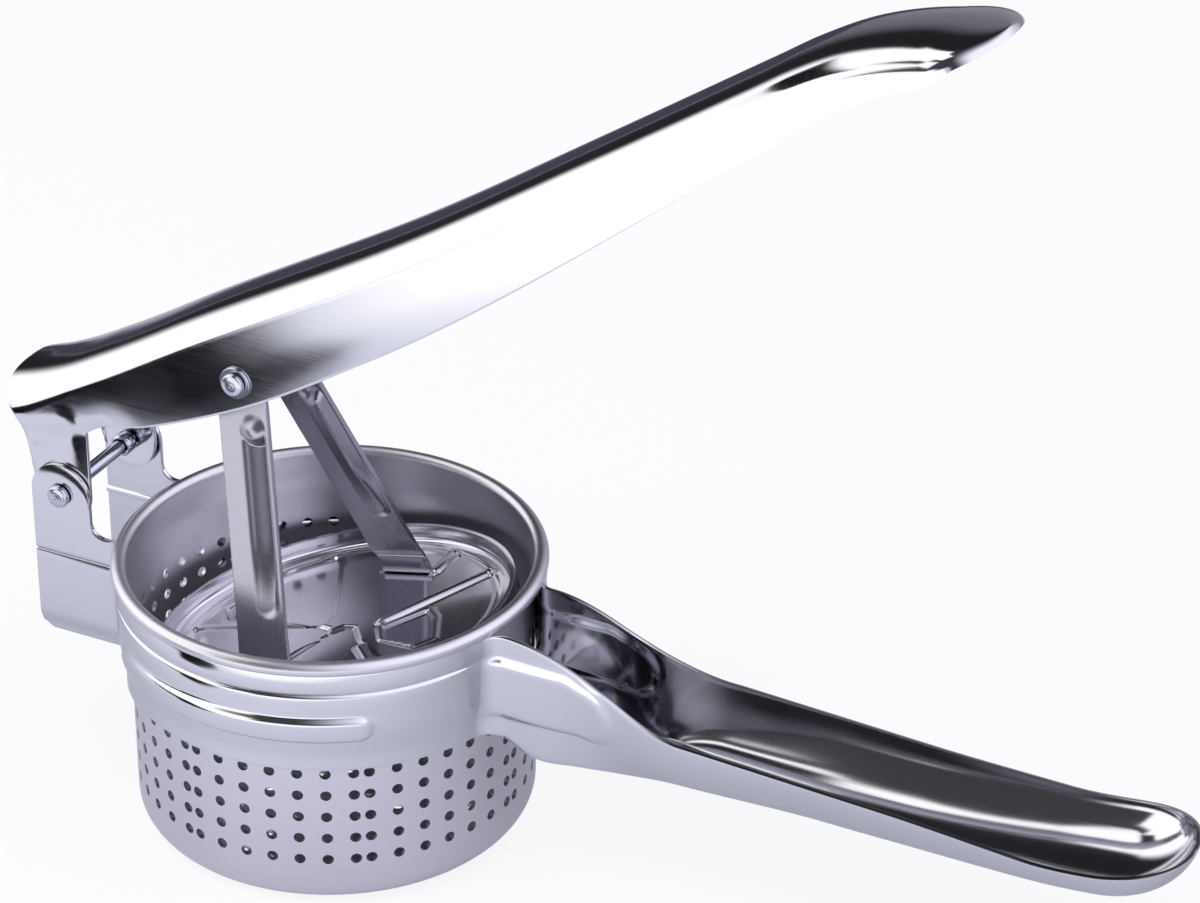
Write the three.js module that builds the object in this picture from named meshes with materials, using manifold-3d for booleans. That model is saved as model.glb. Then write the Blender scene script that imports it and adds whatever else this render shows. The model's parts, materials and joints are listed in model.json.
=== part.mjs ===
// Potato ricer. A perforated basket hangs in a sheet-metal shell that is ring, rear bracket and
// trough handle in one. A channel-shaped lever, hinged in the bracket, drives a press disc on two
// splayed struts down into the basket.
// Millimetres. +X runs from the basket towards the lower handle, +Z is up, and the origin is the
// centre of the basket's underside. The object is the same on both sides of the plane Y = 0.
import * as THREE from 'three';
import { mergeGeometries, mergeVertices } from 'three/addons/utils/BufferGeometryUtils.js';
import Module from 'manifold-3d';

const manifoldLibrary = await Module();
manifoldLibrary.setup();

// ---- Clearances ----
const seatGap = 0.3; // between pieces that touch in the real object
const runGap = 0.4; // between pieces that turn past each other

// ---- Basket ----
const basketRadius = 39.8; // inner wall
const basketSheet = 0.9;
const basketHeight = 58.2;
const basketCorner = 6; // bend between wall and floor
const shoulderHeight = 4; // wider band of wall under the rim
const shoulderStep = 2; // height in which the wall widens to that band
const rimBead = 1.1; // radius of the rolled rim
const rimOverhang = 1.2; // rim beyond the shell
const holeDiameter = 2.1;
const holeRows = 7;
const holeRowPitch = 5;
const holeFirstRow = 11.4;
const holeSectors = 7;
const holeColumns = 7; // in each sector
const holeColumnStep = THREE.MathUtils.degToRad(7.85);
const holeSectorStart = THREE.MathUtils.degToRad(-52.4);
const floorRings = 4;
const floorRingPitch = 7;

// ---- Shell: ring, bracket and handle ----
const shellSheet = 1;
const ringGap = 1.1; // basket wall to ring
const ringBottom = 33;
const bracketHalfGap = 13; // between the bracket plates, halved
const bracketBottom = 30.5;
const bracketFillet = 5; // bend between ring and plate
const earRadius = 6.8;
const earFillet = 3; // corner between ear and ring
const bracketCut = 1.5; // cut corner at the foot of the plates
const handleReach = 184;
const handleHalfWidth = 13;
const waistHalfWidth = 10.5;
const waistFillet = 5; // bend between ring and trough wall
const waistEnd = 60;
const wallLap = 7; // stretch where the trough walls are one with the ring's sheet
const troughStart = 1.2; // ring to the trough's bottom
const bottomStep = 8; // stretch in which the bottom drops below the ring
const handleFlare = 44; // stretch in which the trough walls come down from the ring
const handleTop = 43.4;
const handleTopDrop = 3; // fall of the trough's edge towards its end
const handleBottom = 29;
const handleBottomRise = 2.6;
const handleBend = 6; // radius between trough wall and bottom
const tipLength = 14; // rounded end of the trough
const tipLift = 6; // how far the bottom curls up at the end
const tipLip = 3; // rise of the edge round the end

// ---- Lever ----
const axlePlace = new THREE.Vector2(-54.5, 63.6); // hinge line, in X and Z
const leverAngle = THREE.MathUtils.degToRad(36);
const leverSheet = 1;
const leverHalfWidth = 13.1;
const leverReach = 237; // hinge line to the tip
const leverNose = 13; // rounded end
const leverShoulder = 50; // hinge line to the end of the deep rear part
const leverNeck = 37; // tip to where the nose begins to drop
const leverStart = 0.6; // hinge line to the closed rear edge of the channel
const leverCorner = 5.5; // height of the crowned corners
const leverEarRadius = 6.3;
const leverEarHeight = 20; // hinge line to where the ear runs into the channel

// ---- Pins ----
const axleRadius = 1.5;
const axleHead = 2.4;
const axleHeadHeight = 1.4;
const rivetHeadEdge = 0.3; // share of a head's height that is its upright edge
const collarRadius = 2.3;
const collarLength = 3;
const pinRadius = 1.7;
const pinHead = 2.4;
const pinHeadHeight = 1.2;
const washerRadius = 3.3;
const washerSheet = 0.5;
const pinArm = 55.8; // hinge line to the plunger's pin
const pinAngle = THREE.MathUtils.degToRad(40.2);

// ---- Plunger ----
const plungerTilt = THREE.MathUtils.degToRad(13);
const strutSheet = 1.2;
const strutWidth = 11.4;
const strutFootWidth = 13;
const strutTopOffset = 8.2; // strut to the middle plane, at the pin
const strutTopShift = -3.2; // strut's middle to the pin, along X
const strutFootShift = -0.5;
const strutFootInset = 10.2; // disc's edge to the strut's bend
const strutTab = 6; // upright stretch above and below the pin
const strutTabRadius = 4.75;
const strutFoot = 9; // flange that lies on the disc
const strutRib = 6; // width of the pressed rib
const strutRibDepth = 1.4;
const strutRibWall = 0.8;
const strutRibStart = 0.12; // ends of the rib, as shares of the sloping stretch
const strutRibEnd = 0.86;
const strutBend = 2; // length of sheet taken up by a bend on each side of it
const strutFlare = 9; // height in which the strut widens to its foot
const discDrop = 59.5; // pin to the disc's upper face
const discGap = 2.8; // disc to the basket's wall
const discSheet = 0.9;
const discRim = 4;
const discCorner = 1.5;
const discBead = 1.2; // height of the pressed bead
const discBeadStart = 9.5; // from the disc's centre
const discBeadLength = 20;
const discBeads = 6;
const discBeadWidth = 3.2;

// ---- Sizes that follow ----
const basketOuter = basketRadius + basketSheet;
const discRadius = basketRadius - discGap;
const strutFootOffset = discRadius - strutFootInset;
const ringInner = basketOuter + ringGap;
const ringOuter = ringInner + shellSheet;
const ringMiddle = ringInner + shellSheet / 2;
const ringTop = basketHeight - 2 * rimBead - seatGap;
const handleStart = Math.sqrt(ringMiddle ** 2 - (waistHalfWidth - shellSheet / 2) ** 2);
const plateMiddle = bracketHalfGap + shellSheet / 2;
const waistMiddle = waistHalfWidth - shellSheet / 2;
const bracketBack = axlePlace.x - earRadius;
const leverEarOuter = bracketHalfGap - runGap;
const pinPlace = new THREE.Vector2(pinArm * Math.cos(pinAngle), pinArm * Math.sin(pinAngle)).add(axlePlace);
const pinInLever = pinPlace.clone().sub(axlePlace).rotateAround(new THREE.Vector2(), -leverAngle);
const flareEnd = handleStart + handleFlare;
const tipStart = handleReach - tipLength;
const noseStart = leverReach - leverNose;
const neckStart = leverReach - leverNeck;
const cutterReach = 3 * ringOuter; // longer than any piece that a bore or slab passes through
const endRounding = [0.4, 0.65, 0.83, 0.94, 1]; // stations round the trough's and the lever's end

// ---- Helpers ----

// A closed three.js geometry as a solid, facing outwards.
function solid(geometry) {
  const plain = geometry.index ? geometry.toNonIndexed() : geometry.clone();
  plain.deleteAttribute('normal');
  plain.deleteAttribute('uv');
  const merged = mergeVertices(plain, 1e-4);
  const place = merged.attributes.position;
  const corners = [];
  let volume = 0;
  const [a, b, c] = [new THREE.Vector3(), new THREE.Vector3(), new THREE.Vector3()];
  for (let i = 0; i < merged.index.count; i += 3) {
    const face = [merged.index.getX(i), merged.index.getX(i + 1), merged.index.getX(i + 2)];
    if (new Set(face).size < 3) continue;
    a.fromBufferAttribute(place, face[0]);
    b.fromBufferAttribute(place, face[1]);
    c.fromBufferAttribute(place, face[2]);
    volume += a.dot(b.cross(c));
    corners.push(...face);
  }
  if (volume < 0) corners.reverse();
  return new manifoldLibrary.Manifold(new manifoldLibrary.Mesh({
    numProp: 3,
    vertProperties: new Float32Array(place.array),
    triVerts: new Uint32Array(corners),
  }));
}

function named(name, body, material) {
  const mesh = body.getMesh();
  const geometry = new THREE.BufferGeometry();
  geometry.setAttribute('position', new THREE.BufferAttribute(new Float32Array(mesh.vertProperties), 3));
  geometry.setIndex(new THREE.BufferAttribute(new Uint32Array(mesh.triVerts), 1));
  geometry.computeVertexNormals();
  const piece = new THREE.Mesh(geometry, material);
  piece.name = name;
  return piece;
}

function steel(color, roughness) {
  return new THREE.MeshStandardMaterial({ color, metalness: 1, roughness });
}

// An outline in X and Z, drawn out along Y from low to high.
function slab(outline, low, high) {
  const shape = Array.isArray(outline) ? new THREE.Shape(outline) : outline;
  const geometry = new THREE.ExtrudeGeometry(shape, {
    depth: high - low,
    bevelEnabled: false,
    curveSegments: 6,
  });
  geometry.rotateX(Math.PI / 2);
  geometry.translate(0, high, 0);
  return solid(geometry);
}

// A closed profile of radius and height, turned about Z, with a facet's edge at the start angle.
function turned(profile, segments, start = 0) {
  const geometry = new THREE.LatheGeometry(profile, segments, start + Math.PI / 2);
  geometry.rotateX(Math.PI / 2);
  return solid(geometry);
}

// A round bar along Y.
function bar(radius, low, high, x = 0, z = 0, sides = 16) {
  const geometry = new THREE.CylinderGeometry(radius, radius, high - low, sides);
  geometry.translate(x, (low + high) / 2, z);
  return solid(geometry);
}

// A domed rivet head on the Y axis: its flat side at |Y| = start, on the side of the sign.
function rivetHead(radius, height, start, side) {
  const profile = [new THREE.Vector2(0, 0), new THREE.Vector2(radius, 0)];
  const steps = 3;
  for (let i = 1; i <= steps; i += 1) {
    const turn = (i / steps) * (Math.PI / 2);
    const rise = rivetHeadEdge + (1 - rivetHeadEdge) * Math.sin(turn);
    profile.push(new THREE.Vector2(radius * Math.cos(turn), height * rise));
  }
  profile[profile.length - 1].x = 0;
  const geometry = new THREE.LatheGeometry(profile, 16);
  if (side < 0) geometry.rotateX(Math.PI);
  geometry.translate(0, side * start, 0);
  return solid(geometry);
}

// Convex cross-sections with equal numbers of points, skinned and capped.
function loft(sections) {
  const count = sections[0].length;
  const points = sections.flat();
  const faces = [];
  for (let i = 0; i + 1 < sections.length; i += 1) {
    for (let j = 0; j < count; j += 1) {
      const [p, q] = [i * count + j, i * count + ((j + 1) % count)];
      faces.push(p, q, p + count, q, q + count, p + count);
    }
  }
  const last = (sections.length - 1) * count;
  for (let j = 1; j + 1 < count; j += 1) faces.push(0, j + 1, j, last, last + j, last + j + 1);
  const geometry = new THREE.BufferGeometry().setFromPoints(points);
  geometry.setIndex(faces);
  return solid(geometry);
}

// A smooth curve through [along, value] pairs, read at any place along it.
function graph(pairs) {
  const slope = (i) => {
    const [before, after] = [pairs[Math.max(i - 1, 0)], pairs[Math.min(i + 1, pairs.length - 1)]];
    return (after[1] - before[1]) / (after[0] - before[0]);
  };
  return (along) => {
    let i = 0;
    while (i < pairs.length - 2 && along > pairs[i + 1][0]) i += 1;
    const span = pairs[i + 1][0] - pairs[i][0];
    const t = THREE.MathUtils.clamp((along - pairs[i][0]) / span, 0, 1);
    const [t2, t3] = [t * t, t * t * t];
    return (2 * t3 - 3 * t2 + 1) * pairs[i][1] + (t3 - 2 * t2 + t) * span * slope(i)
      + (3 * t2 - 2 * t3) * pairs[i + 1][1] + (t3 - t2) * span * slope(i + 1);
  };
}

function arc(x, y, radius, from, to, steps) {
  return Array.from({ length: steps + 1 }, (_, i) => {
    const turn = THREE.MathUtils.degToRad(from + ((to - from) * i) / steps);
    return new THREE.Vector2(x + radius * Math.cos(turn), y + radius * Math.sin(turn));
  });
}

// ---- Basket ----
function makeBasket() {
  const floorRadius = basketOuter - basketCorner;
  const innerCorner = basketCorner - basketSheet;
  const beadZ = basketHeight - rimBead;
  const beadR = ringOuter + rimOverhang - rimBead;
  const shoulderR = ringInner - seatGap;
  const shoulderZ = beadZ - shoulderHeight;
  const profile = [
    new THREE.Vector2(0, 0),
    ...arc(floorRadius, basketCorner, basketCorner, -90, 0, 3),
    new THREE.Vector2(basketOuter, shoulderZ - shoulderStep / 2),
    new THREE.Vector2(shoulderR, shoulderZ + shoulderStep / 2),
    new THREE.Vector2(shoulderR, ringTop),
    ...arc(beadR, beadZ, rimBead, -145, 140, 5),
    new THREE.Vector2(shoulderR - basketSheet, beadZ - rimBead),
    new THREE.Vector2(shoulderR - basketSheet, shoulderZ + shoulderStep / 2),
    new THREE.Vector2(basketRadius, shoulderZ - shoulderStep / 2),
    ...arc(floorRadius, basketCorner, innerCorner, 0, -90, 3),
    new THREE.Vector2(0, basketSheet),
  ];
  return turned(profile, holeSectors * holeColumns, holeSectorStart)
    .subtract(solid(mergeGeometries([...wallCutters(), ...floorCutters()])));
}

// A four-sided cutter for one hole, standing along Y.
function holeCutter() {
  return new THREE.CylinderGeometry(holeDiameter / 2, holeDiameter / 2, 4 * basketSheet, 4);
}

// The wall's holes stand in sectors of evenly spaced columns, with a plain strip between sectors.
function wallCutters() {
  const cutters = [];
  const middle = basketRadius + basketSheet / 2;
  const sectorTurn = (2 * Math.PI) / holeSectors;
  const plainStrip = sectorTurn - (holeColumns - 1) * holeColumnStep;
  for (let sector = 0; sector < holeSectors; sector += 1) {
    for (let column = 0; column < holeColumns; column += 1) {
      const turn = holeSectorStart + sector * sectorTurn + plainStrip / 2 + column * holeColumnStep;
      for (let row = 0; row < holeRows; row += 1) {
        const cutter = holeCutter();
        cutter.rotateZ(Math.PI / 2);
        cutter.translate(middle, 0, holeFirstRow + row * holeRowPitch);
        cutter.rotateZ(turn);
        cutters.push(cutter);
      }
    }
  }
  return cutters;
}

// The floor's holes stand on rings, each with one more hole a sector than the ring inside it.
function floorCutters() {
  const cutters = [];
  for (let ring = 1; ring <= floorRings; ring += 1) {
    const count = ring * holeSectors;
    for (let i = 0; i < count; i += 1) {
      const cutter = holeCutter();
      cutter.rotateX(Math.PI / 2);
      cutter.translate(ring * floorRingPitch, 0, basketSheet / 2);
      cutter.rotateZ((i * 2 * Math.PI) / count);
      cutters.push(cutter);
    }
  }
  return cutters;
}

// ---- Shell ----

// Centre line of one side of the shell seen from above: plate, bend, ring, bend, trough wall.
function shellPath() {
  const bend = (offset, radius, side) => {
    const y = -(offset + radius);
    const x = side * Math.sqrt((ringMiddle + radius) ** 2 - y ** 2);
    return { x, y, radius, turn: Math.atan2(-y, -x) };
  };
  const rear = bend(plateMiddle, bracketFillet, -1);
  const front = bend(waistMiddle, waistFillet, 1);
  const path = new THREE.Path();
  path.moveTo(bracketBack, -plateMiddle);
  path.lineTo(rear.x, -plateMiddle);
  path.absarc(rear.x, rear.y, rear.radius, Math.PI / 2, rear.turn, true);
  path.absarc(0, 0, ringMiddle, rear.turn + Math.PI, front.turn - Math.PI + 2 * Math.PI, false);
  path.absarc(front.x, front.y, front.radius, front.turn, Math.PI / 2, true);
  path.lineTo(handleStart + wallLap, -waistMiddle);
  return path.getPoints(14);
}

// Sheet of the named thickness along a centre line.
function sheetOutline(line, thickness) {
  const offset = (side) => line.map((point, i) => {
    const [before, after] = [line[Math.max(i - 1, 0)], line[Math.min(i + 1, line.length - 1)]];
    const along = after.clone().sub(before).normalize();
    const across = new THREE.Vector2(-along.y, along.x).multiplyScalar((side * thickness) / 2);
    return point.clone().add(across);
  });
  return [...offset(1), ...offset(-1).reverse()];
}

// Height of the trough's upper edge, of its underside, and half its width, at a place along X.
function troughTop(x) {
  const fall = THREE.MathUtils.smoothstep(x, handleStart, flareEnd);
  const drop = handleTopDrop * THREE.MathUtils.clamp((x - flareEnd) / (tipStart - flareEnd), 0, 1);
  const lip = tipLip * THREE.MathUtils.smoothstep(x, tipStart, handleReach);
  return ringTop + (handleTop - ringTop) * fall - drop + lip;
}

function troughBottom(x) {
  const dip = THREE.MathUtils.smoothstep(x, handleStart, handleStart + bottomStep);
  const rise = handleBottomRise * THREE.MathUtils.clamp((x - waistEnd) / (tipStart - waistEnd), 0, 1);
  const curl = tipLift * THREE.MathUtils.clamp((x - tipStart) / tipLength, 0, 1) ** 2;
  return ringBottom + (handleBottom - ringBottom) * dip + rise + curl;
}

function troughHalfWidth(x) {
  const spread = THREE.MathUtils.smoothstep(x, waistEnd, flareEnd);
  const round = THREE.MathUtils.clamp((x - tipStart) / tipLength, 0, 0.995);
  return (waistHalfWidth + (handleHalfWidth - waistHalfWidth) * spread) * Math.sqrt(1 - round ** 2);
}

// The trough as a filled body, smaller all round by the inset and taller by the extra.
function troughBody(start, end, inset, extra) {
  const step = [0, 0.5, 1].map((part) => start + part * bottomStep);
  const waist = [0, 0.25, 0.5, 0.75, 1].map((part) => waistEnd + part * (flareEnd - waistEnd));
  const grip = [0.3, 0.6, 1].map((part) => flareEnd + part * (tipStart - flareEnd));
  const tip = endRounding.map((part) => tipStart + part * (end - tipStart));
  const places = [...step, ...waist, ...grip, ...tip].sort((a, b) => a - b);
  return loft(places.map((x) => {
    const reach = tipStart + ((x - tipStart) * tipLength) / (end - tipStart);
    const along = x > tipStart ? reach : x;
    const half = Math.max(troughHalfWidth(along) - inset, 0.5);
    const low = troughBottom(along) + inset;
    const high = troughTop(along) + extra;
    const radius = Math.min(handleBend - inset, half * 0.95);
    const right = arc(half - radius, low + radius, radius, -90, 0, 4);
    const left = arc(radius - half, low + radius, radius, 180, 270, 4);
    return [new THREE.Vector2(-half, high), ...left, ...right, new THREE.Vector2(half, high)]
      .map((point) => new THREE.Vector3(x, point.x, point.y));
  }));
}

// Side view of the plates, ring and the start of the trough walls.
function shellSide() {
  const side = new THREE.Shape();
  const earFront = axlePlace.x + earRadius;
  side.moveTo(bracketBack, bracketBottom + bracketCut);
  side.lineTo(bracketBack, axlePlace.y);
  side.absarc(axlePlace.x, axlePlace.y, earRadius, Math.PI, 0, true);
  side.lineTo(earFront, ringTop + earFillet);
  side.absarc(earFront + earFillet, ringTop + earFillet, earFillet, Math.PI, 1.5 * Math.PI, false);
  side.lineTo(handleStart, ringTop);
  side.lineTo(handleStart + wallLap, troughTop(handleStart + wallLap));
  side.lineTo(handleStart + wallLap, ringBottom + handleBend);
  side.lineTo(handleStart, ringBottom);
  side.lineTo(-ringMiddle / 2, ringBottom);
  side.lineTo(-ringMiddle, bracketBottom);
  side.lineTo(bracketBack + bracketCut, bracketBottom);
  return side;
}

function makeShell() {
  const half = sheetOutline(shellPath(), shellSheet);
  const plan = (mirror) => {
    const shape = new THREE.Shape(half.map((point) => new THREE.Vector2(point.x, mirror * point.y)));
    return solid(new THREE.ExtrudeGeometry(shape, { depth: 2 * basketHeight, bevelEnabled: false }));
  };
  const side = slab(shellSide(), -cutterReach, cutterReach);
  const start = handleStart + troughStart;
  const trough = troughBody(start, handleReach, 0, 0)
    .subtract(troughBody(start - shellSheet, handleReach - shellSheet, shellSheet, handleBend));
  const bores = bar(axleRadius + seatGap, -cutterReach, cutterReach, axlePlace.x, axlePlace.y);
  return plan(1).add(plan(-1)).intersect(side).add(trough).subtract(bores);
}

// ---- Lever, in a frame with its hinge line at the origin and +X along its length ----

// Height of the channel's crown and of its open edge, at a place along its length.
const leverMiddle = (part) => THREE.MathUtils.lerp(leverShoulder, neckStart, part);
const leverTop = graph([
  [-6, 29], [10, 24.8], [24, 22.4], [leverShoulder, 19.4], [leverMiddle(0.35), 13.9],
  [leverMiddle(0.67), 11.7],
  [neckStart, 10.1], [noseStart - 12, 8.2], [noseStart + 2, 3.4], [leverReach, -3.4],
]);
const leverEdge = graph([
  [-6, 18.4], [10, 10.6], [22, 6.3], [leverShoulder, -0.6], [leverMiddle(0.25), -4], [neckStart, -2.1],
  [noseStart, -4.4], [leverReach, -5.2],
]);

// Half the crown from corner to corner: [across, share of the corner's height below the crown].
const leverCrown = [-1, -0.93, -0.74, -0.4, 0, 0.4, 0.74, 0.93, 1].map((across) => (
  [across, 1 - (1 - Math.abs(across) ** 2.6) ** 0.5]
));

// The channel as a filled body, smaller all round by the inset and deeper by the extra.
function leverBody(start, end, inset, extra) {
  const rear = [0, 0.16, 0.4, 0.7].map((part) => THREE.MathUtils.lerp(start, leverShoulder, part));
  const middle = [0, 0.1, 0.25, 0.4, 0.55, 0.7, 0.85, 1].map(leverMiddle);
  const nose = [(neckStart + noseStart) / 2, noseStart];
  const tip = endRounding.map((part) => noseStart + part * (end - noseStart));
  const places = [...rear, ...middle, ...nose, ...tip];
  return loft(places.map((x) => {
    const reach = noseStart + ((x - noseStart) * leverNose) / (end - noseStart);
    const along = x > noseStart ? reach : x;
    const round = THREE.MathUtils.clamp((along - noseStart) / leverNose, 0, 0.995);
    const half = Math.max(leverHalfWidth * Math.sqrt(1 - round ** 2) - inset, 0.5);
    const high = leverTop(along) - inset;
    const low = Math.min(leverEdge(along) - extra, high - 0.3);
    const crown = Math.min(leverCorner, (high - low) * 0.8);
    const roof = leverCrown.map(([across, drop]) => [across, high - drop * crown]);
    return [[-1, low], ...roof, [1, low]].map(([across, z]) => new THREE.Vector3(x, across * half, z));
  }));
}

// A point of the upright frame, as seen in the lever's own frame.
function inLever(x, z) {
  return new THREE.Vector2(x, z).rotateAround(new THREE.Vector2(), -leverAngle);
}

function makeLever() {
  const channel = leverBody(leverStart, leverReach, 0, 0)
    .subtract(leverBody(-leverEarRadius, leverReach - leverSheet, leverSheet, leverEarRadius));
  const ear = [
    ...arc(0, 0, leverEarRadius, 180, 360, 10),
    new THREE.Vector2(leverEarRadius, leverEarHeight),
    new THREE.Vector2(-leverEarRadius, leverEarHeight),
  ].map((point) => inLever(point.x, point.y));
  const near = leverEarOuter - leverSheet;
  const axleBore = bar(axleRadius + seatGap, -cutterReach, cutterReach);
  const pinBore = bar(pinRadius + seatGap, -cutterReach, cutterReach, pinInLever.x, pinInLever.y);
  return channel
    .add(slab(ear, near, leverEarOuter))
    .add(slab(ear, -leverEarOuter, -near))
    .subtract(axleBore)
    .subtract(pinBore);
}

// ---- Pins ----

// A rod on the Y axis with a rivet head at each end.
function rivetedRod(radius, halfLength, head, headHeight) {
  const lap = headHeight * rivetHeadEdge / 2;
  return bar(radius, -halfLength - lap, halfLength + lap)
    .add(rivetHead(head, headHeight, halfLength, 1))
    .add(rivetHead(head, headHeight, halfLength, -1));
}

// A round sleeve or washer on the Y axis, beyond |Y| = start on the side of the sign.
function sleeve(outer, inner, start, length, side) {
  const [low, high] = [side * start, side * (start + length)].sort((a, b) => a - b);
  return bar(outer, low, high).subtract(bar(inner, low - 1, high + 1));
}

// ---- Plunger, in a frame with its pin at the origin and the disc straight below ----

// A strip of sheet bent along a line in Y and Z, as wide as given along X.
function bentStrip(line, thickness, width) {
  const geometry = new THREE.ExtrudeGeometry(new THREE.Shape(sheetOutline(line, thickness)), {
    depth: width,
    bevelEnabled: false,
  });
  geometry.rotateX(Math.PI / 2);
  geometry.rotateZ(Math.PI / 2);
  geometry.translate(-width / 2, 0, 0);
  return solid(geometry);
}

function bentLine(points, radius) {
  const path = new THREE.Path();
  path.moveTo(points[0].x, points[0].y);
  for (let i = 1; i + 1 < points.length; i += 1) {
    const before = points[i - 1].clone().sub(points[i]).setLength(radius).add(points[i]);
    const after = points[i + 1].clone().sub(points[i]).setLength(radius).add(points[i]);
    path.lineTo(before.x, before.y);
    path.quadraticCurveTo(points[i].x, points[i].y, after.x, after.y);
  }
  path.lineTo(points.at(-1).x, points.at(-1).y);
  return path.getPoints(4);
}

function makeStrut(side) {
  const footZ = -(discDrop - seatGap - strutSheet / 2);
  const bendTop = new THREE.Vector2(side * strutTopOffset, -strutTab);
  const bendFoot = new THREE.Vector2(side * strutFootOffset, footZ);
  const line = bentLine([
    new THREE.Vector2(side * strutTopOffset, strutTab),
    bendTop,
    bendFoot,
    new THREE.Vector2(side * (strutFootOffset - strutFoot), footZ),
  ], strutBend);
  const half = strutWidth / 2;
  const footHalf = strutFootWidth / 2;
  const face = slab([
    ...arc(0, 0, strutTabRadius, 0, 180, 10),
    new THREE.Vector2(strutTopShift - half, -strutTab),
    new THREE.Vector2(strutFootShift - half, footZ + strutFlare),
    new THREE.Vector2(strutFootShift - footHalf, footZ + strutBend),
    new THREE.Vector2(strutFootShift - footHalf, -discDrop),
    new THREE.Vector2(strutFootShift + footHalf, -discDrop),
    new THREE.Vector2(strutFootShift + footHalf, footZ + strutBend),
    new THREE.Vector2(strutFootShift + half, footZ + strutFlare),
    new THREE.Vector2(strutTopShift + half, -strutTab),
  ], -discRadius, discRadius);
  const down = bendFoot.clone().sub(bendTop);
  const inward = new THREE.Vector2(down.y, -down.x).setLength(side);
  // A straight band along the slope, between two distances from the sheet's middle.
  const band = (low, high, width, endWall) => {
    const inset = endWall / down.length();
    return bentStrip([strutRibStart + inset, strutRibEnd - inset].map((part) => (
      bendTop.clone().addScaledVector(down, part).addScaledVector(inward, (low + high) / 2)
    )), high - low, width);
  };
  const ribTop = strutSheet / 2 + strutRibDepth;
  const rib = band(0, ribTop, strutRib, 0);
  const grooveWidth = strutRib - 2 * strutRibWall;
  const groove = band(-strutSheet, ribTop - strutRibWall, grooveWidth, strutRibWall);
  return bentStrip(line, strutSheet, 2 * strutFootWidth)
    .intersect(face)
    .add(rib)
    .subtract(groove)
    .subtract(bar(pinRadius + seatGap, -discRadius, discRadius));
}

function makeDisc() {
  const top = -discDrop;
  const low = top - discSheet;
  const profile = [
    new THREE.Vector2(0, low),
    new THREE.Vector2(discRadius - discCorner, low),
    new THREE.Vector2(discRadius, low + discCorner),
    new THREE.Vector2(discRadius, top + discRim),
    new THREE.Vector2(discRadius - discSheet, top + discRim),
    new THREE.Vector2(discRadius - discSheet, top + discCorner),
    new THREE.Vector2(discRadius - discSheet - discCorner, top),
    new THREE.Vector2(0, top),
  ];
  let disc = turned(profile, 56);
  for (let i = 0; i < discBeads; i += 1) disc = disc.add(discBeadBody((i * 2 * Math.PI) / discBeads));
  return disc;
}

// A pressed bead with round ends, running outwards on the disc.
function discBeadBody(turn) {
  const radius = discBeadWidth / 2;
  const outer = discBeadStart + discBeadLength;
  const outline = new THREE.Shape([
    ...arc(outer, 0, radius, -90, 90, 4),
    ...arc(discBeadStart, 0, radius, 90, 270, 4),
  ]);
  const geometry = new THREE.ExtrudeGeometry(outline, {
    depth: discBead + discSheet / 2,
    bevelEnabled: false,
  });
  geometry.translate(0, 0, -discDrop - discSheet / 2);
  geometry.rotateZ(turn);
  return solid(geometry);
}

// ---- Assembly ----
const satinSteel = steel(0xb9bac2, 0.38);
const polishedSteel = steel(0xc9cad1, 0.16);
const pressedSteel = steel(0xb0b1ba, 0.24);
const rivetSteel = steel(0x9d9ea8, 0.3);

const ricer = new THREE.Group();
ricer.add(named('basket', makeBasket(), satinSteel));
ricer.add(named('shell', makeShell(), polishedSteel));

const axle = new THREE.Group();
axle.position.set(axlePlace.x, 0, axlePlace.y);
const axleHalf = bracketHalfGap + shellSheet + seatGap;
axle.add(named('hinge_axle', rivetedRod(axleRadius, axleHalf, axleHead, axleHeadHeight), rivetSteel));
const lever = new THREE.Group();
lever.position.copy(axle.position);
lever.rotation.y = -leverAngle;
lever.add(named('lever', makeLever(), polishedSteel));
const pin = new THREE.Group();
pin.position.set(pinInLever.x, 0, pinInLever.y);
const pinHalf = leverHalfWidth + 2 * seatGap + washerSheet;
pin.add(named('plunger_pin', rivetedRod(pinRadius, pinHalf, pinHead, pinHeadHeight), rivetSteel));
const plunger = new THREE.Group();
plunger.position.set(pinPlace.x, 0, pinPlace.y);
plunger.rotation.y = -plungerTilt;
plunger.add(named('press_disc', makeDisc(), polishedSteel));

for (const [word, side] of [['near', -1], ['far', 1]]) {
  const collarStart = leverEarOuter - leverSheet - seatGap - collarLength;
  const collar = sleeve(collarRadius, axleRadius + seatGap, collarStart, collarLength, side);
  axle.add(named(`axle_collar_${word}`, collar, rivetSteel));
  const washer = sleeve(washerRadius, pinRadius + seatGap, leverHalfWidth + seatGap, washerSheet, side);
  pin.add(named(`pin_washer_${word}`, washer, rivetSteel));
  plunger.add(named(`strut_${word}`, makeStrut(side), pressedSteel));
}
lever.add(pin);
ricer.add(axle, lever, plunger);

export default ricer;
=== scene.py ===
# Potato ricer in pressed and polished stainless steel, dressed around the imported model.
# Lengths in this file are millimetres in the model's own frame; mm turns them into metres.
import json
import math

import bmesh
import bpy
import numpy as np
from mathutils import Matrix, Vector
from mathutils.geometry import delaunay_2d_cdt


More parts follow.
